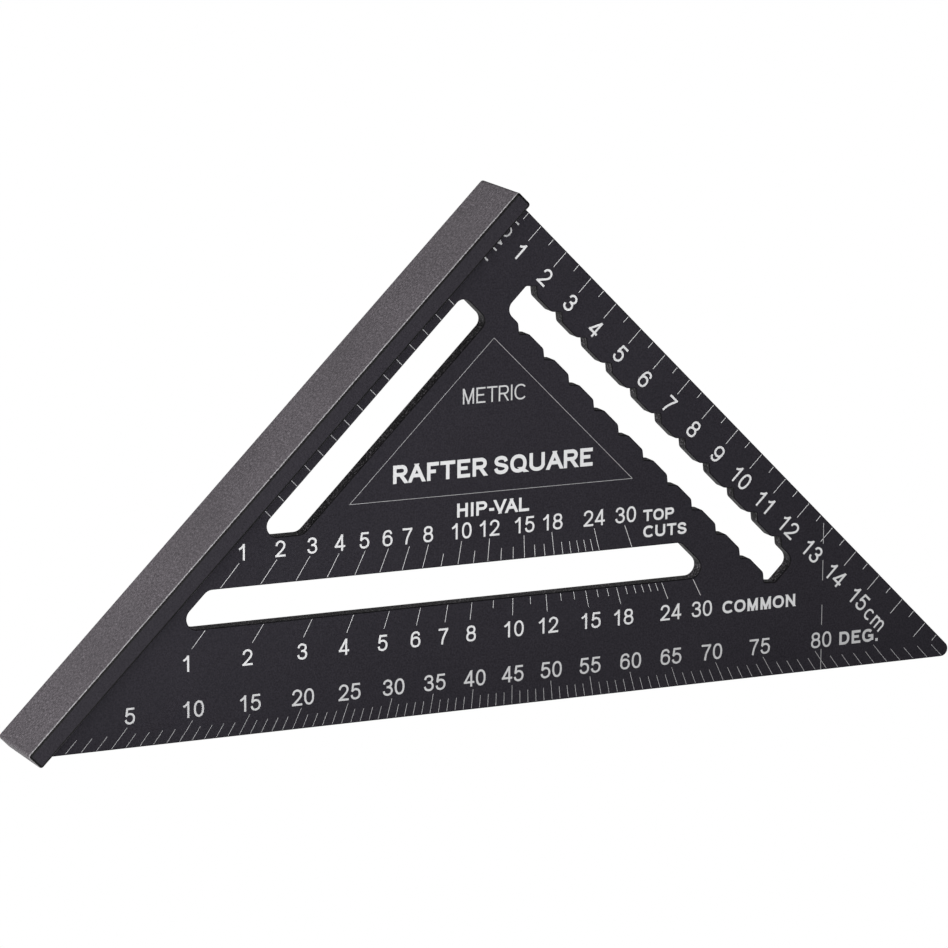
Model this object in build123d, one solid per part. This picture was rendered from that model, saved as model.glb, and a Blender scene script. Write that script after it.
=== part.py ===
from build123d import *

import math
import os

# Speed square (rafter square): a right-angled triangular blade with a T-shaped fence along
# one leg. It is modelled standing on its long edge, with the graduated face towards -Y.
#
# Blade coordinates: the pivot corner is the origin, u runs along the ruled leg to the sharp
# tip, and v runs along the fence. Both are in millimetres, on the blade's middle plane.

# Driving dimensions
LEG = 183.8
BLADE_THICKNESS = 4.0
TIP_RADIUS = 2.0
EDGE_ROUNDING = 0.3

FENCE_THICKNESS = 4.9
FENCE_WIDTH = 22.0
FENCE_ROUNDING = 0.8

# Joint: a tongue on the blade fills a groove in the fence that stops short of both ends
TONGUE_THICKNESS = 3.0
TONGUE_DEPTH = 1.5
TONGUE_STOP = 4.0

# Relief along each side of the blade, so that the sharp edge of a board seats on the fence
RELIEF_WIDTH = 0.8
RELIEF_DEPTH = 0.4

# Slot beside the fence: square across the top, cut parallel to the long edge at the bottom
SIDE_SLOT_LEFT = 6.4
SIDE_SLOT_RIGHT = 16.1
SIDE_SLOT_TOP = 26.55
SIDE_SLOT_DIAGONAL = 113.55

# Slot along the long edge: its two long walls are lines of constant u + v
LONG_SLOT_INNER = 130.25
LONG_SLOT_OUTER = 143.9
LONG_SLOT_LEFT = 6.4
LONG_SLOT_TOP = 31.4

BLUNT_CORNER_RADIUS = 3.0
SHARP_CORNER_RADIUS = 2.8
SQUARE_CORNER_RADIUS = 2.5

# Scribing slot below the ruled edge, with a V notch at every 10 mm on each long wall
SCRIBE_LEFT = 17.85
SCRIBE_RIGHT = 127.5
SCRIBE_TOP = 13.5
SCRIBE_BOTTOM = 21.52
SCRIBE_CORNER_RADIUS = 2.6
NOTCH_PITCH = 10.0
FIRST_TOP_NOTCH = 20.0
FIRST_BOTTOM_NOTCH = 25.0
NOTCH_COUNT = 11
NOTCH_DEPTH = 1.72
NOTCH_HALF_WIDTH = 2.15
NOTCH_SHOULDER_RADIUS = 1.4
NOTCH_APEX_RADIUS = 0.3
END_NOTCH_RADIUS = 0.8

ROOT_HALF = math.sqrt(0.5)


def fence_length() -> float:
    """Length that brings the fence's rounded foot corner level with the blade's long edge."""
    return LEG + FENCE_ROUNDING * (2 - math.sqrt(2))


def leftmost_x() -> float:
    """Position of the fence's outer foot corner, measured along X from the pivot corner."""
    arc_centre = (FENCE_THICKNESS + fence_length() - 2 * FENCE_ROUNDING) * ROOT_HALF
    return -(arc_centre + FENCE_ROUNDING)


def rightmost_x() -> float:
    """Position of the rounded tip's end, measured along X from the pivot corner."""
    half_tip_angle = math.radians(22.5)
    return LEG * ROOT_HALF - TIP_RADIUS / math.tan(half_tip_angle) + TIP_RADIUS


def blade_plane(y: float) -> Plane:
    """Plane with u as its x direction and v as its y direction, facing +Y."""
    pivot_x = -(leftmost_x() + rightmost_x()) / 2
    return Plane(
        origin=(pivot_x, y, LEG * ROOT_HALF),
        x_dir=(ROOT_HALF, 0, -ROOT_HALF),
        z_dir=(0, 1, 0),
    )


def rounded_polygon(points: list[tuple[float, float]], radii: list[float]) -> Face:
    """Closed outline through the points, with each corner rounded to its own radius."""
    path = FilletPolyline(points, radius=radii, close=True)
    return make_face(path.edges()).face()


def side_slot() -> Face:
    """Four-sided slot beside the fence."""
    points = [
        (SIDE_SLOT_LEFT, SIDE_SLOT_TOP),
        (SIDE_SLOT_RIGHT, SIDE_SLOT_TOP),
        (SIDE_SLOT_RIGHT, SIDE_SLOT_DIAGONAL - SIDE_SLOT_RIGHT),
        (SIDE_SLOT_LEFT, SIDE_SLOT_DIAGONAL - SIDE_SLOT_LEFT),
    ]
    radii = [SQUARE_CORNER_RADIUS, SQUARE_CORNER_RADIUS, BLUNT_CORNER_RADIUS, SHARP_CORNER_RADIUS]
    return rounded_polygon(points, radii)


def long_slot() -> Face:
    """Slot parallel to the long edge, cut square to the fence at one end."""
    points = [
        (LONG_SLOT_INNER - LONG_SLOT_TOP, LONG_SLOT_TOP),
        (LONG_SLOT_OUTER - LONG_SLOT_TOP, LONG_SLOT_TOP),
        (LONG_SLOT_LEFT, LONG_SLOT_OUTER - LONG_SLOT_LEFT),
        (LONG_SLOT_LEFT, LONG_SLOT_INNER - LONG_SLOT_LEFT),
    ]
    radii = [BLUNT_CORNER_RADIUS, SHARP_CORNER_RADIUS, SHARP_CORNER_RADIUS, BLUNT_CORNER_RADIUS]
    return rounded_polygon(points, radii)


def notch(u: float, wall_v: float, direction: float) -> list[tuple[tuple[float, float], float]]:
    """Corners and radii of one V notch, in order of u. direction is -1 above the slot, 1 below."""
    return [
        ((u - NOTCH_HALF_WIDTH, wall_v), NOTCH_SHOULDER_RADIUS),
        ((u, wall_v + direction * NOTCH_DEPTH), NOTCH_APEX_RADIUS),
        ((u + NOTCH_HALF_WIDTH, wall_v), NOTCH_SHOULDER_RADIUS),
    ]


def scribing_slot() -> Face:
    """Slot with V notches on both long walls, where a pencil point rests while the fence slides."""
    slope = NOTCH_DEPTH / NOTCH_HALF_WIDTH
    top = []
    bottom = []
    for index in range(NOTCH_COUNT):
        top += notch(FIRST_TOP_NOTCH + index * NOTCH_PITCH, SCRIBE_TOP, -1)
        bottom += notch(FIRST_BOTTOM_NOTCH + index * NOTCH_PITCH, SCRIBE_BOTTOM, 1)

    # The end notch beside each end wall has no shoulder there: its flank runs into the wall.
    apex_u, apex_v = top[1][0]
    top[0] = ((SCRIBE_LEFT, apex_v + slope * (apex_u - SCRIBE_LEFT)), END_NOTCH_RADIUS)
    apex_u, apex_v = bottom[-2][0]
    bottom[-1] = ((SCRIBE_RIGHT, apex_v - slope * (SCRIBE_RIGHT - apex_u)), END_NOTCH_RADIUS)

    top.append(((SCRIBE_RIGHT, SCRIBE_TOP), SCRIBE_CORNER_RADIUS))
    bottom.insert(0, ((SCRIBE_LEFT, SCRIBE_BOTTOM), SCRIBE_CORNER_RADIUS))
    outline = top + bottom[::-1]
    return rounded_polygon([point for point, _ in outline], [radius for _, radius in outline])


def blade_outline() -> Face:
    """Right-angled triangle with a rounded tip."""
    triangle = make_face(Polyline((0, 0), (LEG, 0), (0, LEG), close=True)).face()
    tip = triangle.vertices().sort_by(Axis.X)[-1]
    return triangle.fillet_2d(TIP_RADIUS, [tip])


def tongue() -> Part:
    """Bar that joins blade and fence, in blade coordinates on the middle plane."""
    size = (TONGUE_DEPTH, LEG - 2 * TONGUE_STOP, TONGUE_THICKNESS)
    return Pos(0, TONGUE_STOP, 0) * Box(*size, align=(Align.MAX, Align.MIN, Align.CENTER))


def triangle_blade() -> Solid:
    """Flat blade with its three slots, all its free edges rounded over, and its tongue."""
    outline = Sketch() + blade_outline() - side_slot() - long_slot() - scribing_slot()
    plane = blade_plane(-BLADE_THICKNESS / 2)
    blade = extrude(plane * outline, BLADE_THICKNESS, dir=(0, 1, 0))
    face_edges = blade.faces().filter_by(Axis.Y).edges()
    free_edges = [edge for edge in face_edges if plane.to_local_coords(edge.center()).X > EDGE_ROUNDING]
    blade = fillet(free_edges, EDGE_ROUNDING)
    return (blade + blade_plane(0).location * tongue()).solid()


def fence_bar() -> Solid:
    """Flat bar across the blade's leg, with the tongue's groove and a relief on each side of it."""
    length = fence_length()
    bar = Box(FENCE_THICKNESS, length, FENCE_WIDTH, align=(Align.MAX, Align.MIN, Align.CENTER))
    bar = fillet(bar.edges(), FENCE_ROUNDING)
    bar -= tongue()
    relief = Box(RELIEF_DEPTH, length, RELIEF_WIDTH, align=(Align.MAX, Align.MIN, Align.MIN))
    for side in (relief, mirror(relief, about=Plane.XY)):
        offset = math.copysign(BLADE_THICKNESS / 2, side.center().Z)
        bar -= Pos(0, 0, offset) * side
    return (blade_plane(0).location * bar).solid()


os.makedirs("parts", exist_ok=True)
export_step(triangle_blade(), "parts/triangle_blade.step")
export_step(fence_bar(), "parts/fence_bar.step")
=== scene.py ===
"""Looks for a metric speed square: anodised blade and fence, etched scales, figures and words.

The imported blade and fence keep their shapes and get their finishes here. Every scale, figure
and word is a thin inlay on the blade's graduated face, built in the blade's own coordinates:
u runs from the pivot corner along the ruled edge, and v runs from it along the fence.
"""

from __future__ import annotations

import logging
import math
from dataclasses import dataclass, field
from enum import Enum

import bpy
import numpy as np
from mathutils import Euler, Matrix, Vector
from mathutils.geometry import delaunay_2d_cdt

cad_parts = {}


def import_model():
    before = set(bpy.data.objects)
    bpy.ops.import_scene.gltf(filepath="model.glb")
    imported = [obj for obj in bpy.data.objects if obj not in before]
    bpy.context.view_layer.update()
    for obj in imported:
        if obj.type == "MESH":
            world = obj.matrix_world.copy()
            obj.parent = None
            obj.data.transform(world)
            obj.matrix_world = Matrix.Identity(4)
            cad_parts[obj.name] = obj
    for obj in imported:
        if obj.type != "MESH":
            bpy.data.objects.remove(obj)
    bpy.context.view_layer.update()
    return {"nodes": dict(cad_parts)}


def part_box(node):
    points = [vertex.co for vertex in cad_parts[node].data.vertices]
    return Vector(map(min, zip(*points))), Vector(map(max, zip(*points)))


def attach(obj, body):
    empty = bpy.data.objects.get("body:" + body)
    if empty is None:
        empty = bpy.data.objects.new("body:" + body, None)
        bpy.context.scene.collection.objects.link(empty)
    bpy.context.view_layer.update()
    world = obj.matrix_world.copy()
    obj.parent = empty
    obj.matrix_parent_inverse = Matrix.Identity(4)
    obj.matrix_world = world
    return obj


LOG = logging.getLogger("speed_square")
MM = 0.001
ROOT_HALF = math.sqrt(0.5)
ROOT_BODY = "root"
BLADE_NODE = "triangle_blade"
FENCE_NODE = "fence_bar"


# ---------------------------------------------------------------------------- blade coordinates


@dataclass(frozen=True)
class BladeFace:
    """The blade's graduated face, with the lines that its scales are set out from.

    All lengths are in millimetres of blade coordinates; pivot_x, pivot_z and face_y are metres.
    """

    pivot_x: float
    pivot_z: float
    face_y: float
    leg: float
    edge_rounding: float = 0.3
    side_slot_left: float = 6.4

    @classmethod
    def from_frame(cls) -> BladeFace:
        """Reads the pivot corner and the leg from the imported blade's box.

        Returns:
            The face: the pivot is the box's top, one leg is its height times root two.
        """
        low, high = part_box(BLADE_NODE)
        height = high.z - low.z
        return cls(low.x + height, high.z, low.y, height / ROOT_HALF / MM)

    def to_row(self, points: np.ndarray, height: float) -> np.ndarray:
        """Places blade points in the row frame.

        Args:
            points: (n, 2) array of u and v.
            height: how far the points stand out from the face, in millimetres.

        Returns:
            (n, 3) array in metres: x grows with u - v and z falls with u + v.
        """
        along = (points[:, 0] - points[:, 1]) * ROOT_HALF * MM
        down = (points[:, 0] + points[:, 1]) * ROOT_HALF * MM
        depth = np.full(len(points), self.face_y - height * MM)
        return np.column_stack([self.pivot_x + along, depth, self.pivot_z - down])


class Reading(Enum):
    """Direction that a line of figures or words runs, as its right and up vectors in u and v."""

    LEVEL = ((ROOT_HALF, -ROOT_HALF), (-ROOT_HALF, -ROOT_HALF))
    ALONG_RULE = ((1.0, 0.0), (0.0, -1.0))
    ALONG_FENCE = ((0.0, -1.0), (-1.0, 0.0))

    def place(self, points: np.ndarray, centre: tuple[float, float]) -> np.ndarray:
        """Turns points of a line of text into blade coordinates.

        Args:
            points: (n, 2) array, x to the right and y up in the line.
            centre: u and v of the line's middle.

        Returns:
            (n, 2) array of u and v.
        """
        return points @ np.array(self.value) + np.array(centre)


# ------------------------------------------------------------------------------- stroke lettering


@dataclass(frozen=True)
class Bar:
    """Straight run through its points, with square corners."""

    points: tuple[tuple[float, float], ...]

    def centre_line(self) -> np.ndarray:
        """The points themselves."""
        return np.array(self.points)


@dataclass(frozen=True)
class Bow:
    """Part of an oval: centre, half width and half height, and the angles it starts and ends at.

    squareness 2 is an ellipse, and a larger value has flatter sides.
    """

    centre: tuple[float, float]
    radii: tuple[float, float]
    start: float
    end: float
    squareness: float = 2.25

    def centre_line(self) -> np.ndarray:
        """Points of the oval |x|^n + |y|^n = 1, with x and y as signed powers of cos and sin."""
        steps = max(4, round(abs(self.end - self.start) / 15))
        angle = np.radians(np.linspace(self.start, self.end, steps + 1))
        power = 2 / self.squareness
        x = np.sign(np.cos(angle)) * np.abs(np.cos(angle)) ** power
        y = np.sign(np.sin(angle)) * np.abs(np.sin(angle)) ** power
        return np.column_stack([x, y]) * self.radii + self.centre


@dataclass(frozen=True)
class Curve:
    """Smooth run through its points."""

    points: tuple[tuple[float, float], ...]
    steps: int = 5

    def centre_line(self) -> np.ndarray:
        """Catmull-Rom curve: cubic spans whose end slopes are half the neighbours' distance."""
        p = np.array(self.points)
        padded = np.vstack([2 * p[0] - p[1], p, 2 * p[-1] - p[-2]])
        before, start, end, after = padded[:-3], padded[1:-2], padded[2:-1], padded[3:]
        t = np.linspace(0, 1, self.steps, endpoint=False)[None, :, None]
        slope_in = (end - before)[:, None] / 2
        slope_out = (after - start)[:, None] / 2
        a, b = start[:, None], end[:, None]
        span = a * (2 * t**3 - 3 * t**2 + 1) + b * (3 * t**2 - 2 * t**3)
        span = span + slope_in * (t**3 - 2 * t**2 + t) + slope_out * (t**3 - t**2)
        return np.vstack([span.reshape(-1, 2), p[-1:]])


@dataclass(frozen=True)
class Slash:
    """Slanted straight run whose two ends are cut level."""

    start: tuple[float, float]
    end: tuple[float, float]

    def centre_line(self) -> np.ndarray:
        """The two ends."""
        return np.array([self.start, self.end])


Stroke = Bar | Bow | Curve | Slash

FULL_OVAL = Bow((0.5, 0.5), (0.5, 0.5), 0, 360)
LOWER_BOWL = Bow((0.5, 0.315), (0.5, 0.315), 0, 360)
P_BOWL = (Bar(((0.6, 1), (0, 1))), Bow((0.6, 0.74), (0.4, 0.26), 90, -90), Bar(((0, 0.48), (0.6, 0.48))))
LEFT_STEM = Bar(((0, 0), (0, 1)))
RIGHT_STEM = Bar(((1, 0), (1, 1)))

# Each glyph is its width, in cap heights, and its strokes' centre lines in a unit square that
# is fitted inside the glyph's box by half a stroke on every side.
GLYPHS: dict[str, tuple[float, tuple[Stroke, ...]]] = {
    "0": (0.64, (FULL_OVAL,)),
    "1": (0.43, (RIGHT_STEM, Curve(((0, 0.72), (0.55, 0.83), (0.98, 1.0))))),
    "2": (
        0.66,
        (
            Curve(
                ((0.02, 0.70), (0.13, 0.90), (0.48, 1.0), (0.85, 0.91), (0.97, 0.72))
                + ((0.86, 0.52), (0.52, 0.29), (0.16, 0.09), (0.05, 0.0))
            ),
            Bar(((0, 0), (1, 0))),
        ),
    ),
    "3": (
        0.65,
        (
            Curve(
                ((0.04, 0.75), (0.15, 0.92), (0.46, 1.0), (0.81, 0.93), (0.93, 0.76))
                + ((0.81, 0.60), (0.54, 0.54), (0.36, 0.535))
            ),
            Curve(
                ((0.36, 0.535), (0.58, 0.53), (0.88, 0.45), (1.0, 0.27), (0.86, 0.07))
                + ((0.48, 0.0), (0.13, 0.08), (0.0, 0.27))
            ),
        ),
    ),
    "4": (0.68, (Bar(((0.76, 0), (0.76, 1))), Slash((0.02, 0.25), (0.72, 1)),
                 Bar(((0, 0.24), (1, 0.24))))),
    "5": (
        0.65,
        (
            Bar(((0.92, 1), (0.2, 1), (0.07, 0.5))),
            Curve(
                ((0.05, 0.49), (0.22, 0.60), (0.52, 0.655), (0.87, 0.56), (1.0, 0.33))
                + ((0.86, 0.09), (0.47, 0.0), (0.13, 0.08), (0.0, 0.26))
            ),
        ),
    ),
    "6": (
        0.65,
        (
            LOWER_BOWL,
            Curve(((0, 0.32), (0.04, 0.68), (0.2, 0.92), (0.54, 1.0), (0.83, 0.94), (0.96, 0.77))),
        ),
    ),
    "7": (0.64, (Bar(((0, 1), (1, 1))), Curve(((1.0, 0.98), (0.67, 0.62), (0.44, 0.3), (0.33, -0.07))))),
    "8": (0.65, (Bow((0.5, 0.27), (0.5, 0.27), 0, 360), Bow((0.5, 0.77), (0.43, 0.23), 0, 360))),
    "9": (
        0.65,
        (
            Bow((0.5, 0.685), (0.5, 0.315), 0, 360),
            Curve(((1, 0.68), (0.96, 0.32), (0.8, 0.08), (0.46, 0.0), (0.17, 0.06), (0.04, 0.23))),
        ),
    ),
    "A": (0.94, (Slash((0, 0), (0.5, 1)), Slash((1, 0), (0.5, 1)), Bar(((0.2, 0.33), (0.8, 0.33))))),
    "C": (0.92, (Bow((0.565, 0.5), (0.565, 0.5), 42, 318),)),
    "D": (0.84, (LEFT_STEM, Bar(((0.45, 1), (0, 1))), Bow((0.45, 0.5), (0.55, 0.5), 90, -90),
                 Bar(((0, 0), (0.45, 0))))),
    "E": (0.74, (Bar(((1, 1), (0, 1), (0, 0), (1, 0))), Bar(((0, 0.52), (0.92, 0.52))))),
    "F": (0.68, (Bar(((1, 1), (0, 1), (0, 0))), Bar(((0, 0.5), (0.85, 0.5))))),
    "G": (0.94, (Bow((0.5, 0.5), (0.5, 0.5), 42, 325), Bar(((0.55, 0.46), (1, 0.46), (1, 0.14))))),
    "H": (0.82, (LEFT_STEM, RIGHT_STEM, Bar(((0, 0.53), (1, 0.53))))),
    "I": (0.0, (LEFT_STEM,)),
    "L": (0.78, (Bar(((0, 1), (0, 0), (1, 0))),)),
    "M": (0.91, (LEFT_STEM, RIGHT_STEM, Slash((0.03, 1), (0.5, 0)), Slash((0.97, 1), (0.5, 0)))),
    "N": (0.82, (LEFT_STEM, RIGHT_STEM, Slash((0.03, 1), (0.97, 0)))),
    "O": (0.98, (FULL_OVAL,)),
    "P": (0.82, (LEFT_STEM, *P_BOWL)),
    "Q": (0.96, (FULL_OVAL, Slash((0.62, 0.24), (0.95, 0.0)))),
    "R": (0.82, (LEFT_STEM, *P_BOWL, Slash((0.52, 0.48), (0.97, 0)))),
    "S": (
        0.84,
        (
            Curve(
                ((0.95, 0.73), (0.83, 0.92), (0.49, 1.0), (0.15, 0.92), (0.05, 0.75), (0.17, 0.59))
                + ((0.5, 0.505), (0.87, 0.41), (1.0, 0.25), (0.85, 0.07), (0.5, 0.0), (0.14, 0.08))
                + ((0.0, 0.29),)
            ),
        ),
    ),
    "T": (0.86, (Bar(((0, 1), (1, 1))), Bar(((0.5, 0), (0.5, 1))))),
    "U": (0.9, (Bar(((0, 1), (0, 0.36))), Bow((0.5, 0.36), (0.5, 0.36), 180, 360),
                Bar(((1, 0.36), (1, 1))))),
    "V": (0.92, (Slash((0, 1), (0.5, 0)), Slash((1, 1), (0.5, 0)))),
    "c": (0.62, (Bow((0.58, 0.36), (0.58, 0.36), 48, 312),)),
    "m": (
        1.0,
        (
            Bar(((0, 0), (0, 0.7))),
            Bow((0.25, 0.46), (0.25, 0.24), 180, 0),
            Bar(((0.5, 0.46), (0.5, 0))),
            Bow((0.75, 0.46), (0.25, 0.24), 180, 0),
            Bar(((1, 0.46), (1, 0))),
        ),
    ),
    "-": (0.38, (Bar(((0, 0.32), (1, 0.32))),)),
    ".": (0.0, (Bar(((0, 0), (0, 0.02))),)),
}
DIGIT_ADVANCE = 0.775
ONE_SHIFT = -0.05
WORD_GAP = 0.3

# Space left on each side of a letter, in cap heights, and pairs that overlap.
SIDE_GAP = 0.115
SIDE_GAPS = {"A": 0.0, "V": 0.0, "T": 0.045, "C": 0.06, "G": 0.065, "O": 0.055, "Q": 0.055, "S": 0.055,
             "L": 0.1, "R": 0.07, "P": 0.095, "E": 0.08, "F": 0.075, "-": 0.07}
PAIR_GAPS = {"VA": -0.05, "-V": -0.08, "AF": 0.05, "FT": -0.03}


@dataclass(frozen=True)
class Sheet:
    """Flat triangles: points is (n, 2), triangles is (m, 3) and turns anticlockwise."""

    points: np.ndarray
    triangles: np.ndarray

    @classmethod
    def join(cls, sheets: list[Sheet]) -> Sheet:
        """Puts several sheets into one, renumbering each one's corners past those before it."""
        starts = np.cumsum([0] + [len(sheet.points) for sheet in sheets[:-1]])
        triangles = [sheet.triangles + start for sheet, start in zip(sheets, starts)]
        return cls(np.vstack([sheet.points for sheet in sheets]), np.vstack(triangles))

    def outline(self) -> np.ndarray:
        """Directed edges that only one triangle has.

        Returns:
            (k, 2) array of point numbers, each in the order its triangle turns.
        """
        edges = np.vstack([self.triangles[:, pair] for pair in ([0, 1], [1, 2], [2, 0])])
        key = np.sort(edges, axis=1)
        _, inverse, count = np.unique(key, axis=0, return_inverse=True, return_counts=True)
        return edges[count[inverse.reshape(-1)] == 1]


@dataclass(frozen=True)
class Pen:
    """Draws glyphs with one stroke thickness, given as a share of the cap height.

    stretch is how wide the glyphs are, as a share of their usual width.
    """

    thickness: float
    stretch: float = 1.0

    def fit(self, line: np.ndarray, width: float) -> np.ndarray:
        """Maps a unit-square line into the glyph's box, half a stroke in from every side."""
        inner = np.array([max(width - self.thickness, 0.0), 1 - self.thickness])
        return line * inner + self.thickness / 2

    def ribbon(self, line: np.ndarray, lengthened: np.ndarray) -> np.ndarray:
        """Widens a centre line into four-sided faces, mitred at its corners.

        Args:
            line: (n, 2) centre line.
            lengthened: how far each of the two ends runs on past its point.

        Returns:
            (n - 1, 4, 2) array of faces. Each corner's offset is the mean of its two
            neighbours' normals, divided by its own squared length, times half the thickness.
        """
        steps = np.diff(line, axis=0)
        steps /= np.linalg.norm(steps, axis=1, keepdims=True)
        path = line.copy()
        path[0] -= steps[0] * lengthened[0]
        path[-1] += steps[-1] * lengthened[1]
        normals = np.column_stack([-steps[:, 1], steps[:, 0]])
        closed = np.allclose(line[0], line[-1])
        before = np.vstack([normals[-1:] if closed else normals[:1], normals])
        after = np.vstack([normals, normals[:1] if closed else normals[-1:]])
        mean = (before + after) / 2
        offset = mean / (mean**2).sum(axis=1, keepdims=True) * self.thickness / 2
        left, right = path + offset, path - offset
        return np.stack([right[:-1], right[1:], left[1:], left[:-1]], axis=1)

    def slash(self, line: np.ndarray) -> np.ndarray:
        """Widens a slanted line sideways, so that its ends, at the box's edge, are level.

        Args:
            line: (2, 2) centre line.

        Returns:
            (1, 4, 2) array: the half width is half the thickness over the slope's sine.
        """
        run = line[1] - line[0]
        reach = self.thickness / 2 * np.linalg.norm(run) / abs(run[1])
        right, left = np.array([[reach, 0.0], [-reach, 0.0]])
        corners = np.array([line[0] + left, line[0] + right, line[1] + right, line[1] + left])
        return corners[None] if run[1] > 0 else corners[None, ::-1]

    def faces(self, stroke: Stroke, width: float) -> np.ndarray:
        """Four-sided faces of one stroke.

        Args:
            stroke: the stroke in its unit square.
            width: the glyph's width.

        Returns:
            (n, 4, 2) array. A straight stroke that ends on the square's edge runs on by half
            a stroke, out to the glyph's own box.
        """
        unit = stroke.centre_line()
        line = self.fit(unit, width)
        if isinstance(stroke, Slash):
            top, bottom = unit[:, 1] >= 1, unit[:, 1] <= 0
            spread = (top.astype(float) - bottom) * self.thickness / 2
            slope = (line[1] - line[0]) / (line[1, 1] - line[0, 1])
            return self.slash(line + spread[:, None] * slope)
        at_edge = np.isclose(unit[[0, -1]], 0) | np.isclose(unit[[0, -1]], 1)
        straight = isinstance(stroke, Bar)
        lengthened = at_edge.any(axis=1) * straight * self.thickness / 2
        return self.ribbon(line, lengthened)

    def glyph(self, character: str) -> tuple[float, Sheet]:
        """Builds one character as a single sheet, with its strokes merged.

        Args:
            character: a key of GLYPHS.

        Returns:
            The glyph's width and its sheet, in cap heights, from its lower left corner.
        """
        nominal, strokes = GLYPHS[character]
        width = max(nominal * self.stretch, self.thickness)
        faces = np.vstack([self.faces(stroke, width) for stroke in strokes])
        corners = [Vector(point) for point in faces.reshape(-1, 2)]
        loops = np.arange(len(corners)).reshape(-1, 4).tolist()
        points, _, triangles, _, _, sources = delaunay_2d_cdt(corners, [], loops, 0, 1e-5, True)
        kept = [triangle for triangle, source in zip(triangles, sources) if source]
        return width, Sheet(np.array(points), np.array(kept))

    def line(self, text: str, height: float) -> Sheet:
        """Sets one line of text, centred on its own middle.

        Args:
            text: the characters.
            height: cap height in millimetres.

        Returns:
            The line's sheet in millimetres. Figures stand on an even pitch, and letters
            keep their own side gaps.
        """
        sheets = []
        cursor = 0.0
        for index, character in enumerate(text):
            if character == " ":
                cursor += WORD_GAP * self.stretch
                continue
            width, sheet = self.glyph(character)
            if character.isdigit():
                gap = (DIGIT_ADVANCE - width) / 2
                start = cursor + gap + (ONE_SHIFT if character == "1" else 0.0)
            else:
                gap = SIDE_GAPS.get(character, SIDE_GAP) * self.stretch
                cursor += PAIR_GAPS.get(text[index - 1:index + 1], 0.0)
                start = cursor + gap
            sheets.append(Sheet(sheet.points + [start, 0.0], sheet.triangles))
            cursor += width + 2 * gap
        joined = Sheet.join(sheets)
        return Sheet((joined.points - [cursor / 2, 0.5]) * height, joined.triangles)


FIGURE_PEN = Pen(0.125)
FINE_PEN = Pen(0.1, 0.84)
UNIT_PEN = Pen(0.12, 0.9)
WORD_PEN = Pen(0.2, 1.01)


# --------------------------------------------------------------------------------------- inlays


@dataclass
class Inlay:
    """A named group of marks on the blade's face, raised as one thin closed piece."""

    name: str
    face: BladeFace
    material: bpy.types.Material
    line_width: float = 0.15
    proud: float = 0.015
    sunk: float = 0.06
    sheets: list[Sheet] = field(default_factory=list)

    def add_lines(self, starts: np.ndarray, ends: np.ndarray) -> None:
        """Adds straight marks of the inlay's line width.

        Args:
            starts: (n, 2) array of u and v.
            ends: (n, 2) array of u and v.
        """
        run = ends - starts
        run = run / np.linalg.norm(run, axis=1, keepdims=True)
        side = np.column_stack([-run[:, 1], run[:, 0]]) * self.line_width / 2
        corners = np.stack([starts - side, starts + side, ends + side, ends - side], axis=1)
        first = np.arange(len(starts))[:, None] * 4
        triangles = np.vstack([first + [0, 1, 2], first + [0, 2, 3]])
        self.sheets.append(Sheet(corners.reshape(-1, 2), triangles))

    def add_text(self, text: str, centre: tuple[float, float], height: float, pen: Pen,
                 reading: Reading = Reading.LEVEL) -> None:
        """Adds a line of text.

        Args:
            text: the characters.
            centre: u and v of the line's middle.
            height: cap height in millimetres.
            pen: the pen that draws it.
            reading: the direction it runs.
        """
        line = pen.line(text, height)
        self.sheets.append(Sheet(reading.place(line.points, centre), line.triangles))

    def build(self) -> None:
        """Raises the marks into a closed mesh: a top, a bottom, and walls along the outline.

        The piece is attached to the root body.
        """
        sheet = Sheet.join(self.sheets)
        count = len(sheet.points)
        top = self.face.to_row(sheet.points, self.proud)
        bottom = self.face.to_row(sheet.points, -self.sunk)
        edges = sheet.outline()
        walls = np.column_stack([edges[:, ::-1], edges + count])
        back = sheet.triangles[:, ::-1] + count
        faces = [*sheet.triangles.tolist(), *back.tolist(), *walls.tolist()]
        mesh = bpy.data.meshes.new(self.name)
        mesh.from_pydata(np.vstack([top, bottom]).tolist(), [], faces)
        mesh.materials.append(self.material)
        mesh.update()
        piece = bpy.data.objects.new(self.name, mesh)
        bpy.context.scene.collection.objects.link(piece)
        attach(piece, ROOT_BODY)
        LOG.info("%s: %d triangles in its face", self.name, len(sheet.triangles))


# --------------------------------------------------------------------------------------- scales


@dataclass(frozen=True)
class Etching:
    """The etched finishes: full for figures and words, soft for small figures, faint for lines."""

    full: bpy.types.Material
    soft: bpy.types.Material
    faint: bpy.types.Material


@dataclass(frozen=True)
class Nudges:
    """How far to the right of their marks some figures stand, in millimetres."""

    shifts: tuple[tuple[int, float], ...] = ()

    def of(self, number: int) -> float:
        """Shift of one figure, 0 if it has none."""
        return dict(self.shifts).get(number, 0.0)


def radial_points(face_sum: float, slopes: np.ndarray, offset: float = 0.0) -> np.ndarray:
    """Where lines from near the pivot corner cross a line of constant u + v.

    Args:
        face_sum: the constant, in millimetres.
        slopes: u over v of each line.
        offset: how far outside the corner the lines meet, along u and along v alike.

    Returns:
        (n, 2) array: v plus the offset is the sum plus twice the offset, over one plus the
        slope, and u is the rest of the sum.
    """
    v = (face_sum + 2 * offset) / (1 + slopes) - offset
    return np.column_stack([face_sum - v, v])


def level_centre(across: float, face_sum: float) -> tuple[float, float]:
    """Blade point at a given distance right of the middle, on a line of constant u + v."""
    difference = across / ROOT_HALF
    return (face_sum + difference) / 2, (face_sum - difference) / 2


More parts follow.
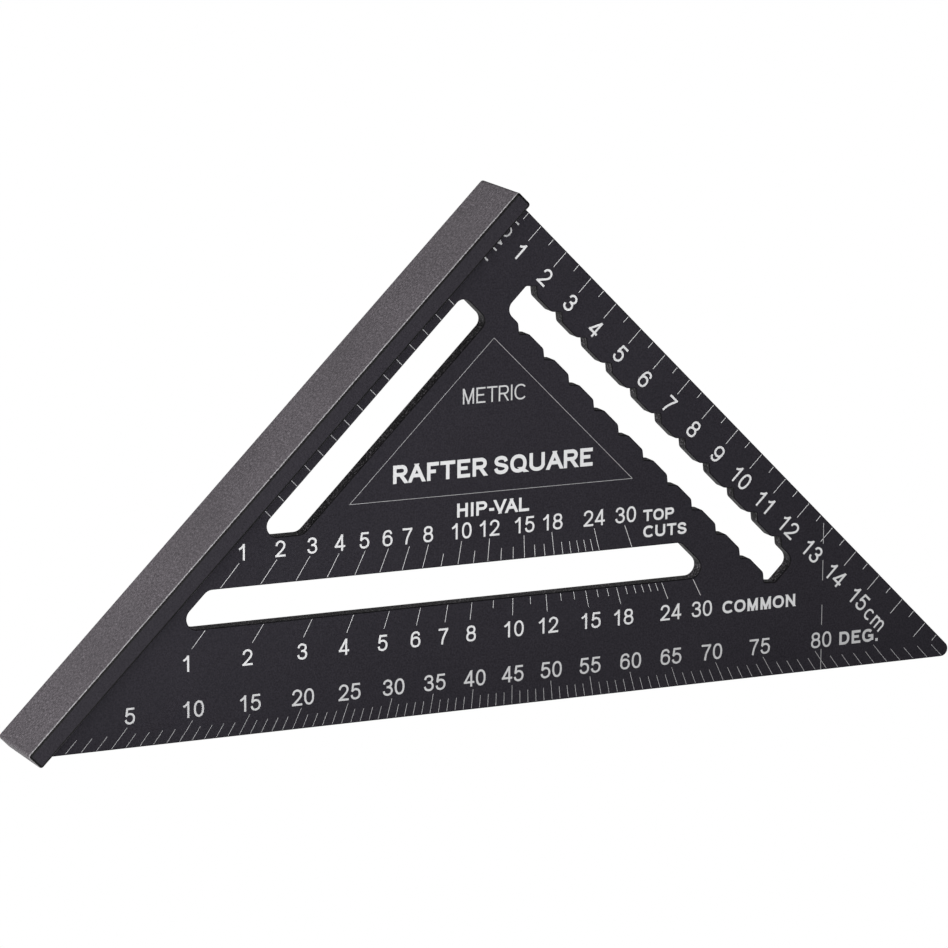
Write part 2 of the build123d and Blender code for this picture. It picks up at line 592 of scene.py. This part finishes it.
@dataclass(frozen=True)
class CentimetreScale:
    """Rule along the edge square to the fence."""

    pitch: float = 5.0
    last_mark: float = 175.0
    long_mark: float = 5.1
    short_mark: float = 2.2
    last_figure: int = 15
    figure_height: float = 4.4
    figure_line: float = 8.45
    pair_shift: float = -0.3
    unit_centre: tuple[float, float] = (157.4, 8.9)
    unit_height: float = 4.1

    def build(self, face: BladeFace, etching: Etching) -> None:
        """Makes the marks, and the figures above every full centimetre."""
        marks = Inlay("centimetre_marks", face, etching.full)
        u = np.arange(self.pitch, self.last_mark + self.pitch / 2, self.pitch)
        whole = np.isclose(np.round(u / 10) * 10, u)
        reach = np.where(whole, self.long_mark, self.short_mark)
        edge = np.full_like(u, face.edge_rounding)
        marks.add_lines(np.column_stack([u, edge]), np.column_stack([u, reach]))
        marks.build()
        figures = Inlay("centimetre_figures", face, etching.full)
        for number in range(1, self.last_figure + 1):
            shift = self.pair_shift if number > 9 else 0.1
            centre = (10.0 * number + shift, self.figure_line)
            figures.add_text(str(number), centre, self.figure_height, FIGURE_PEN, Reading.ALONG_RULE)
        figures.add_text("cm", self.unit_centre, self.unit_height, UNIT_PEN, Reading.ALONG_RULE)
        figures.build()


@dataclass(frozen=True)
class DegreeScale:
    """Protractor along the long edge, with its centre at the pivot corner."""

    long_start: float = 176.4
    short_start: float = 178.8
    figure_sum: float = 172.3
    figure_step: int = 5
    last_figure: int = 80
    figure_height: float = 4.2
    figure_spread: float = 0.991
    figure_shift: float = 0.2
    nudges: Nudges = Nudges(((5, -0.4), (10, -0.9), (15, -0.9), (20, -0.2), (25, -0.2),
                             (40, 0.2), (60, 0.3), (70, -0.8), (75, -0.6)))
    mark_width: float = 0.11
    unit_across: float = 100.2
    unit_sum: float = 172.6
    unit_height: float = 3.5

    def build(self, face: BladeFace, etching: Etching, layout_line: float) -> None:
        """Makes a mark at every degree and a figure at every fifth one.

        Args:
            face: the blade's face.
            etching: the etched finishes.
            layout_line: distance right of the middle of the layout line, which the last
                figure stands on.
        """
        degrees = np.arange(1, 90)
        slopes = np.tan(np.radians(degrees))
        start = np.where(degrees % self.figure_step == 0, self.long_start, self.short_start)
        end = face.leg - face.edge_rounding / ROOT_HALF
        marks = Inlay("degree_marks", face, etching.faint, self.mark_width)
        marks.add_lines(radial_points(start, slopes), radial_points(end, slopes))
        marks.build()
        figures = Inlay("degree_figures", face, etching.soft)
        for degree in range(self.figure_step, self.last_figure + 1, self.figure_step):
            slope = math.tan(math.radians(degree))
            across = self.long_start * (slope - 1) / (slope + 1) * ROOT_HALF
            across = across * self.figure_spread + self.figure_shift + self.nudges.of(degree)
            if degree == self.last_figure:
                across = layout_line
            centre = level_centre(across, self.figure_sum)
            figures.add_text(str(degree), centre, self.figure_height, FIGURE_PEN)
        unit_centre = level_centre(self.unit_across, self.unit_sum)
        figures.add_text("DEG.", unit_centre, self.unit_height, WORD_PEN)
        figures.build()


@dataclass(frozen=True)
class RafterScale:
    """Scale of rafter rises along one wall of the long slot.

    A mark for rise N lies on the line from the pivot corner whose slope is N over the run.
    """

    name: str
    run: float
    offset: float
    wall: float
    long_end: float
    short_end: float
    figure_sum: float
    figure_spread: float
    figure_shift: float
    words: tuple[tuple[str, float, float, float], ...]
    nudges: Nudges
    figure_height: float = 4.15
    mark_width: float = 0.125
    rises: tuple[int, ...] = tuple(range(1, 25)) + (30,)
    figured: tuple[int, ...] = (1, 2, 3, 4, 5, 6, 7, 8, 10, 12, 15, 18, 24, 30)

    def build(self, face: BladeFace, etching: Etching) -> None:
        """Makes the marks from the slot's wall, the figures past their ends, and the words."""
        rises = np.array(self.rises)
        slopes = rises / self.run
        end = np.where(np.isin(rises, self.figured), self.long_end, self.short_end)
        start = self.wall + math.copysign(face.edge_rounding / ROOT_HALF, self.long_end - self.wall)
        marks = Inlay(f"{self.name}_marks", face, etching.full, self.mark_width)
        marks.add_lines(radial_points(start, slopes, self.offset),
                        radial_points(end, slopes, self.offset))
        marks.build()
        figures = Inlay(f"{self.name}_figures", face, etching.full)
        for rise in self.figured:
            slope = rise / self.run
            across = self.long_end * (slope - 1) / (slope + 1) * ROOT_HALF
            across = across * self.figure_spread + self.figure_shift + self.nudges.of(rise)
            centre = level_centre(across, self.figure_sum)
            figures.add_text(str(rise), centre, self.figure_height, FIGURE_PEN)
        for text, across, face_sum, height in self.words:
            figures.add_text(text, level_centre(across, face_sum), height, WORD_PEN)
        figures.build()


@dataclass(frozen=True)
class LayoutMarks:
    """Marks that belong to no scale: the layout line, the side slot's marks and the panel."""

    line_difference: float = 126.0
    dashes: tuple[tuple[float, float], ...] = ((1.1, 5.0), (8.1, 11.9), (16.5, 20.3), (24.9, 28.8))
    side_first: float = 29.9
    side_last: float = 99.9
    side_pitch: float = 5.0
    side_length: float = 2.8
    pivot_centre: tuple[float, float] = (3.3, 9.5)
    pivot_height: float = 3.6
    panel_corners: tuple[tuple[float, float], ...] = ((20.4, 28.6), (75.9, 28.7), (20.3, 84.1))
    panel_line: float = 0.1
    metric_place: tuple[float, float] = (-5.7, 69.2)
    metric_height: float = 4.0
    title_place: tuple[float, float] = (-5.6, 95.2)
    title_height: float = 4.7

    @property
    def layout_line(self) -> float:
        """Distance of the layout line right of the pivot corner."""
        return self.line_difference * ROOT_HALF

    def build(self, face: BladeFace, etching: Etching) -> None:
        """Makes each group of marks as its own piece."""
        dashes = np.array(self.dashes)
        line = Inlay("layout_line", face, etching.faint)
        shift = self.line_difference
        line.add_lines(np.column_stack([dashes[:, 0] + shift, dashes[:, 0]]),
                       np.column_stack([dashes[:, 1] + shift, dashes[:, 1]]))
        line.build()
        side = Inlay("side_slot_marks", face, etching.faint)
        v = np.arange(self.side_first, self.side_last + 1, self.side_pitch)
        end = np.full_like(v, face.side_slot_left - face.edge_rounding)
        side.add_lines(np.column_stack([end - self.side_length, v]), np.column_stack([end, v]))
        side.build()
        pivot = Inlay("pivot_word", face, etching.faint)
        pivot.add_text("PIVOT", self.pivot_centre, self.pivot_height, UNIT_PEN, Reading.ALONG_FENCE)
        pivot.build()
        panel = Inlay("panel_outline", face, etching.faint, self.panel_line)
        corners = np.array(self.panel_corners)
        panel.add_lines(corners, np.roll(corners, -1, axis=0))
        panel.build()
        metric = Inlay("metric_word", face, etching.soft)
        metric.add_text("METRIC", level_centre(*self.metric_place), self.metric_height, FINE_PEN)
        metric.build()
        title = Inlay("panel_title", face, etching.full)
        title.add_text("RAFTER SQUARE", level_centre(*self.title_place), self.title_height, WORD_PEN)
        title.build()


# -------------------------------------------------------------------------------------- finishes


class Sheen(Enum):
    """How smooth an anodised surface was left: the roughness where it is smoothest and roughest."""

    SATIN = (0.40, 0.52)
    BLASTED = (0.42, 0.62)


class Wiring:
    """Adds and joins nodes in one node tree."""

    def __init__(self, tree: bpy.types.NodeTree) -> None:
        """Keeps the tree that the nodes go into."""
        self.tree = tree

    def add(self, kind: str, inputs: dict[str, object] | None = None,
            **settings: object) -> bpy.types.Node:
        """Adds a node.

        Args:
            kind: the node's type name.
            inputs: by socket name, a value, or the output socket to join it to.
            settings: the node's own properties.

        Returns:
            The new node.
        """
        node = self.tree.nodes.new(kind)
        for name, value in settings.items():
            setattr(node, name, value)
        for name, value in (inputs or {}).items():
            if isinstance(value, bpy.types.NodeSocket):
                self.tree.links.new(value, node.inputs[name])
            else:
                node.inputs[name].default_value = value
        return node

    def math(self, operation: str, first: object, second: object = 0.0) -> bpy.types.NodeSocket:
        """Adds a Math node and gives its output."""
        node = self.add("ShaderNodeMath", operation=operation)
        for socket, value in zip(node.inputs, (first, second)):
            if isinstance(value, bpy.types.NodeSocket):
                self.tree.links.new(value, socket)
            else:
                socket.default_value = value
        return node.outputs[0]

    def spread(self, value: bpy.types.NodeSocket, low: float, high: float,
               source: tuple[float, float] = (0.0, 1.0)) -> bpy.types.NodeSocket:
        """Maps a value from one range to another, clamped."""
        inputs = {"Value": value, "From Min": source[0], "From Max": source[1],
                  "To Min": low, "To Max": high}
        return self.add("ShaderNodeMapRange", inputs).outputs["Result"]

    def blend(self, factor: bpy.types.NodeSocket, first: object, second: object) -> bpy.types.NodeSocket:
        """Mixes two colours by a factor."""
        node = self.add("ShaderNodeMix", data_type="RGBA")
        for index, value in ((0, factor), (6, first), (7, second)):
            if isinstance(value, bpy.types.NodeSocket):
                self.tree.links.new(value, node.inputs[index])
            else:
                node.inputs[index].default_value = value
        return node.outputs[2]


# Grain of the metal: the coarse grain's scale and weight beside the fine one's, and the spans of
# noise that the speckle and the patches are stretched from.
COARSE_SCALE = 0.37
COARSE_WEIGHT = 0.6
SPECKLE_SPAN = (0.35, 0.68)
PATCH_SPAN = (0.3, 0.7)


def grain_group() -> bpy.types.ShaderNodeTree:
    """Node group for the grain of etched and anodised metal.

    Returns:
        A group with inputs Size, in grains per metre, and Cloud, in patches per metre, and
        outputs Height and Speckle, from 0 to 1, and Patch, from 0 to 1 over whole areas.
    """
    group = bpy.data.node_groups.new("metal_grain", "ShaderNodeTree")
    for name, value in (("Size", 2500.0), ("Cloud", 30.0)):
        socket = group.interface.new_socket(name, in_out="INPUT", socket_type="NodeSocketFloat")
        socket.default_value = value
    for name in ("Height", "Speckle", "Patch"):
        group.interface.new_socket(name, in_out="OUTPUT", socket_type="NodeSocketFloat")
    wiring = Wiring(group)
    inside = wiring.add("NodeGroupInput")
    place = wiring.add("ShaderNodeTexCoord").outputs["Object"]
    fine = wiring.add("ShaderNodeTexNoise", {"Vector": place, "Scale": inside.outputs["Size"],
                                             "Detail": 3.0, "Roughness": 0.65})
    coarse_size = wiring.math("MULTIPLY", inside.outputs["Size"], COARSE_SCALE)
    coarse = wiring.add("ShaderNodeTexNoise", {"Vector": place, "Scale": coarse_size, "Detail": 2.0})
    cloud = wiring.add("ShaderNodeTexNoise", {"Vector": place, "Scale": inside.outputs["Cloud"],
                                              "Detail": 4.0})
    added = wiring.math("MULTIPLY", coarse.outputs["Fac"], COARSE_WEIGHT)
    total = wiring.math("ADD", fine.outputs["Fac"], added)
    outside = wiring.add("NodeGroupOutput")
    results = {
        "Height": wiring.math("DIVIDE", total, 1 + COARSE_WEIGHT),
        "Speckle": wiring.spread(fine.outputs["Fac"], 0.0, 1.0, SPECKLE_SPAN),
        "Patch": wiring.spread(cloud.outputs["Fac"], 0.0, 1.0, PATCH_SPAN),
    }
    for name, socket in results.items():
        group.links.new(socket, outside.inputs[name])
    return group


@dataclass(frozen=True)
class Tone:
    """Two colours that a surface's grain runs between."""

    dark: tuple[float, float, float]
    light: tuple[float, float, float]

    def mixed(self, wiring: Wiring, factor: bpy.types.NodeSocket) -> bpy.types.NodeSocket:
        """Mixes the dark and the light colour by a factor."""
        return wiring.blend(factor, (*self.dark, 1.0), (*self.light, 1.0))


@dataclass(frozen=True)
class Surface:
    """A material with its wiring, its Principled node and its grain node."""

    material: bpy.types.Material
    wiring: Wiring
    shader: bpy.types.Node
    grain: bpy.types.Node


@dataclass(frozen=True)
class Finish:
    """What all the finishes share: a Principled surface, roughened by the grain group."""

    name: str
    face: Tone
    grains_per_metre: float
    relief: float

    def surface(self, grain: bpy.types.ShaderNodeTree) -> Surface:
        """Starts the material.

        Args:
            grain: the shared grain group.

        Returns:
            The material, with the nodes that the finishes go on from.
        """
        material = bpy.data.materials.new(self.name)
        material.use_nodes = True
        material.node_tree.nodes.clear()
        wiring = Wiring(material.node_tree)
        node = wiring.add("ShaderNodeGroup", node_tree=grain)
        node.inputs["Size"].default_value = self.grains_per_metre
        bump = wiring.add("ShaderNodeBump", {"Strength": 1.0, "Distance": self.relief * MM,
                                             "Height": node.outputs["Height"]})
        shader = wiring.add("ShaderNodeBsdfPrincipled", {"Normal": bump.outputs["Normal"]})
        wiring.add("ShaderNodeOutputMaterial", {"Surface": shader.outputs["BSDF"]})
        return Surface(material, wiring, shader, node)


@dataclass(frozen=True)
class Anodised(Finish):
    """Black anodising, with its own tones on flat faces and on walls, and painted light on rounded edges
    and on walls that face down.

    How far a surface faces front or back, the size of its normal's Y, tells the three apart: walls are
    near 0 and faces near 1. A rounded edge gets a painted highlight, a thin bright line on the wall's
    side where it faces left, and painted dark reflection elsewhere. Walls that face down are darkened by
    painted shade. The side sign of the highlight is -1 if the highlighted edges are the front ones and 1
    if they are the back ones. The spans are the shares of the normal over which a wall, a rounded edge
    and so on begin.
    """

    wall: Tone = Tone((0.0, 0.0, 0.0), (0.0, 0.0, 0.0))
    worn: Tone = Tone((0.0, 0.0, 0.0), (0.0, 0.0, 0.0))
    lip: Tone = Tone((0.002, 0.002, 0.002), (0.004, 0.004, 0.004))
    wear: tuple[float, float] = (0.5, 0.65)
    sheen: Sheen = Sheen.SATIN
    gloss: float = 0.35
    contrast: float = 1.0
    underside: float = 1.0
    worn_side: float = -1.0
    speckle_share: float = 0.83
    wall_span: tuple[float, float] = (0.08, 0.16)
    rounded_span: tuple[float, float] = (0.95, 0.995)
    left_span: tuple[float, float] = (-0.25, -0.15)
    down_span: tuple[float, float] = (-0.6, 0.0)
    side_span: tuple[float, float] = (0.0, 0.1)

    def build(self, grain: bpy.types.ShaderNodeTree) -> bpy.types.Material:
        """Makes the material.

        Args:
            grain: the shared grain group.

        Returns:
            The material.
        """
        surface = self.surface(grain)
        wiring, shader = surface.wiring, surface.shader
        normal = wiring.add("ShaderNodeTexCoord").outputs["Normal"]
        parts = wiring.add("ShaderNodeSeparateXYZ", {"Vector": normal})
        facing = wiring.math("ABSOLUTE", parts.outputs["Y"])
        speckle, patch = surface.grain.outputs["Speckle"], surface.grain.outputs["Patch"]
        fine = wiring.math("MULTIPLY", speckle, self.speckle_share)
        broad = wiring.math("MULTIPLY", patch, 1 - self.speckle_share)
        tone = wiring.math("ADD", fine, broad)
        # Painted dark reflection: rounded edges take the dark lip tone.
        rounded = wiring.spread(facing, 1.0, 0.0, self.rounded_span)
        # Painted highlight: a thin bright line on rounded edges that face left, on the front or the back
        # side as the finish sets.
        left = wiring.spread(parts.outputs["X"], 1.0, 0.0, self.left_span)
        sided = wiring.math("MULTIPLY", parts.outputs["Y"], self.worn_side)
        side = wiring.spread(sided, 0.0, 1.0, self.side_span)
        highlight_zone = wiring.math("MULTIPLY", left, side)
        edge = wiring.math("MULTIPLY", wiring.spread(facing, 1.0, 0.0, self.wear), highlight_zone)
        wall = wiring.spread(facing, 1.0, 0.0, self.wall_span)
        # Painted shade: walls that face down are darkened.
        painted_underside_shade = wiring.spread(parts.outputs["Z"], self.underside, 1.0, self.down_span)
        depth = wiring.math("MULTIPLY", wiring.math("POWER", tone, self.contrast), painted_underside_shade)
        colour = wiring.blend(rounded, self.face.mixed(wiring, tone), self.lip.mixed(wiring, tone))
        colour = wiring.blend(edge, colour, self.worn.mixed(wiring, speckle))
        colour = wiring.blend(wall, colour, self.wall.mixed(wiring, depth))
        wiring.tree.links.new(colour, shader.inputs["Base Color"])
        smooth, rough = self.sheen.value
        roughness = wiring.spread(wiring.math("MULTIPLY", patch, speckle), smooth, rough)
        wiring.tree.links.new(roughness, shader.inputs["Roughness"])
        shader.inputs["Specular IOR Level"].default_value = self.gloss
        return surface.material


@dataclass(frozen=True)
class Etched(Finish):
    """Pale aluminium where the black layer was burnt away, faintly mottled."""

    roughness: tuple[float, float] = (0.55, 0.75)

    def build(self, grain: bpy.types.ShaderNodeTree) -> bpy.types.Material:
        """Makes the material.

        Args:
            grain: the shared grain group.

        Returns:
            The material.
        """
        surface = self.surface(grain)
        wiring, shader = surface.wiring, surface.shader
        speckle, patch = surface.grain.outputs["Speckle"], surface.grain.outputs["Patch"]
        tone = wiring.math("MULTIPLY", speckle, patch)
        wiring.tree.links.new(self.face.mixed(wiring, tone), shader.inputs["Base Color"])
        roughness = wiring.spread(speckle, *self.roughness)
        wiring.tree.links.new(roughness, shader.inputs["Roughness"])
        return surface.material


# Bright edge tones: painted highlights on rounded edges.
# Dark lip tones: painted dark reflection on rounded edges.
# The blade's underside share: painted shade on walls that face down.
BLADE_FINISH = Anodised(
    "blade_anodising", Tone((0.0097, 0.0089, 0.0116), (0.0203, 0.0187, 0.0234)), 2400.0, 0.05,
    wall=Tone((0.0015, 0.0014, 0.0017), (0.29, 0.27, 0.295)),
    worn=Tone((0.06, 0.057, 0.062), (0.2, 0.19, 0.2)),
    lip=Tone((0.002, 0.0018, 0.0023), (0.009, 0.0083, 0.01)),
    wear=(0.8, 0.95), gloss=0.04, contrast=4.5, underside=0.12, worn_side=1.0,
)
FENCE_FINISH = Anodised(
    "fence_anodising", Tone((0.0115, 0.0104, 0.0135), (0.0202, 0.0184, 0.0228)), 1900.0, 0.2,
    wall=Tone((0.034, 0.0305, 0.034), (0.122, 0.110, 0.121)),
    worn=Tone((0.09, 0.086, 0.09), (0.3, 0.29, 0.3)),
    wear=(0.45, 0.6), sheen=Sheen.BLASTED, gloss=0.07, contrast=1.65,
)
WORD_FINISH = Etched("etched_words", Tone((0.45, 0.45, 0.455), (0.36, 0.36, 0.365)), 5000.0, 0.02)
FIGURE_FINISH = Etched("etched_figures", Tone((0.36, 0.36, 0.365), (0.28, 0.28, 0.285)), 5000.0, 0.02)
LINE_FINISH = Etched("etched_lines", Tone((0.3, 0.3, 0.305), (0.2, 0.2, 0.205)), 5000.0, 0.02)


# ---------------------------------------------------------------------------------------- studio


@dataclass(frozen=True)
class Softbox:
    """Square area light aimed at the square's middle."""

    name: str
    place: tuple[float, float, float]
    size: float
    watts: float

    def build(self, target: Vector) -> None:
        """Hangs the light and turns it to the target."""
        lamp = bpy.data.lights.new(self.name, "AREA")
        lamp.size = self.size
        lamp.energy = self.watts
        holder = bpy.data.objects.new(self.name, lamp)
        holder.location = self.place
        holder.rotation_euler = (target - Vector(self.place)).to_track_quat("-Z", "Y").to_euler()
        holder.visible_camera = False
        bpy.context.scene.collection.objects.link(holder)


@dataclass(frozen=True)
class View:
    """Long-lens camera, placed by the direction and distance of what it is aimed at."""

    aim: tuple[float, float, float] = (-0.00793, -0.0020, 0.06099)
    distance: float = 1.3511
    azimuth: float = 25.09
    elevation: float = 12.40
    roll: float = 0.41
    lens: float = 204.75

    def build(self) -> None:
        """Makes the camera: it looks along +Y turned by the azimuth and lowered by the elevation."""
        camera = bpy.data.cameras.new("camera")
        camera.lens = self.lens
        camera.sensor_width = 36.0
        holder = bpy.data.objects.new("camera", camera)
        tilt = math.radians(90 - self.elevation)
        turn = Euler((tilt, 0.0, -math.radians(self.azimuth)), "XYZ").to_quaternion()
        turn = turn @ Euler((0.0, 0.0, math.radians(self.roll))).to_quaternion()
        holder.rotation_euler = turn.to_euler()
        holder.location = Vector(self.aim) - turn @ Vector((0, 0, -self.distance))
        bpy.context.scene.collection.objects.link(holder)
        bpy.context.scene.camera = holder


@dataclass(frozen=True)
class Studio:
    """Pale floor, pale room and soft lights."""

    floor_half: float = 6.0
    floor_colour: tuple[float, float, float] = (0.75, 0.75, 0.75)
    floor_glow: float = 0.45
    room_back: float = 0.3
    room_front: float = 0.15
    softboxes: tuple[Softbox, ...] = (
        Softbox("key_softbox", (-0.205, -0.42, 0.17), 0.24, 2.8),
        Softbox("back_softbox", (-0.85, 0.15, 0.4), 0.5, 9.0),
    )

    def floor(self) -> None:
        """Lays the floor as one large sheet at height 0."""
        half = self.floor_half
        mesh = bpy.data.meshes.new("floor")
        mesh.from_pydata([(-half, -half, 0), (half, -half, 0), (half, half, 0), (-half, half, 0)], [],
                         [(0, 1, 2, 3)])
        material = bpy.data.materials.new("floor_paper")
        material.use_nodes = True
        material.node_tree.nodes.clear()
        wiring = Wiring(material.node_tree)
        paper = wiring.add("ShaderNodeBsdfPrincipled", {
            "Base Color": (*self.floor_colour, 1.0), "Roughness": 0.9,
            "Emission Color": (1.0, 1.0, 1.0, 1.0), "Emission Strength": self.floor_glow,
        })
        white = wiring.add("ShaderNodeEmission", {"Strength": 1.0})
        seen = wiring.add("ShaderNodeLightPath").outputs["Is Camera Ray"]
        both = wiring.add("ShaderNodeMixShader", {"Fac": seen})
        wiring.tree.links.new(paper.outputs["BSDF"], both.inputs[1])
        wiring.tree.links.new(white.outputs["Emission"], both.inputs[2])
        wiring.add("ShaderNodeOutputMaterial", {"Surface": both.outputs["Shader"]})
        mesh.materials.append(material)
        sheet = bpy.data.objects.new("floor", mesh)
        bpy.context.scene.collection.objects.link(sheet)

    def room(self) -> None:
        """Makes the room: white to look at, and lit more from behind the square than from in front."""
        world = bpy.data.worlds.new("room")
        bpy.context.scene.world = world
        world.use_nodes = True
        world.node_tree.nodes.clear()
        wiring = Wiring(world.node_tree)
        direction = wiring.add("ShaderNodeTexCoord").outputs["Generated"]
        forward = wiring.add("ShaderNodeSeparateXYZ", {"Vector": direction}).outputs["Y"]
        level = wiring.spread(forward, self.room_front, self.room_back, (-0.5, 0.6))
        seen = wiring.add("ShaderNodeLightPath").outputs["Is Camera Ray"]
        shade = wiring.math("MAXIMUM", level, seen)
        light = wiring.add("ShaderNodeBackground", {"Color": shade, "Strength": 1.0})
        wiring.add("ShaderNodeOutputWorld", {"Surface": light.outputs["Background"]})

    def build(self, target: Vector) -> None:
        """Makes the floor, the room and the softboxes."""
        self.floor()
        self.room()
        for softbox in self.softboxes:
            softbox.build(target)
        bpy.context.scene.view_settings.view_transform = "Standard"


# ------------------------------------------------------------------------------------------ main


COMMON_SCALE = RafterScale(
    "common", run=10.0, offset=0.3, wall=143.9, long_end=150.6, short_end=147.2, figure_sum=155.7,
    figure_spread=1.02, figure_shift=0.2, words=(("COMMON", 70.6, 156.1, 3.3),),
    nudges=Nudges(((1, -0.2), (2, -0.4), (3, 0.4), (4, -0.2), (7, -0.3), (8, 0.3), (12, -0.2),
                   (30, -0.6))),
)
HIP_SCALE = RafterScale(
    "hip_val", run=14.0, offset=0.2, wall=130.25, long_end=121.6, short_end=125.5, figure_sum=117.8,
    figure_spread=1.0, figure_shift=0.05,
    words=(("HIP-VAL", -5.7, 110.3, 3.6), ("TOP", 41.1, 118.8, 3.0), ("CUTS", 42.9, 124.8, 3.1)),
    nudges=Nudges(((1, 0.5), (2, 0.7), (3, 0.4), (5, -0.4), (6, -0.4), (7, -0.7), (8, -0.2),
                   (10, -0.3), (12, -0.3), (15, -0.1), (30, 0.3))),
)


def dress(piece: bpy.types.Object, material: bpy.types.Material) -> None:
    """Gives a piece one material in all its slots."""
    if not piece.material_slots:
        piece.data.materials.append(material)
    for slot in piece.material_slots:
        slot.material = material


def main() -> None:
    """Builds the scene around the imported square."""
    logging.basicConfig(level=logging.INFO, format="%(message)s")
    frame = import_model()
    face = BladeFace.from_frame()
    LOG.info("leg %.2f mm", face.leg)
    layout = LayoutMarks()
    grain = grain_group()
    etching = Etching(*(finish.build(grain) for finish in (WORD_FINISH, FIGURE_FINISH, LINE_FINISH)))
    CentimetreScale().build(face, etching)
    DegreeScale().build(face, etching, layout.layout_line)
    COMMON_SCALE.build(face, etching)
    HIP_SCALE.build(face, etching)
    layout.build(face, etching)
    dress(frame["nodes"][BLADE_NODE], BLADE_FINISH.build(grain))
    dress(frame["nodes"][FENCE_NODE], FENCE_FINISH.build(grain))
    Studio().build(Vector(View.aim))
    View().build()


if __name__ == "__main__":
    main()
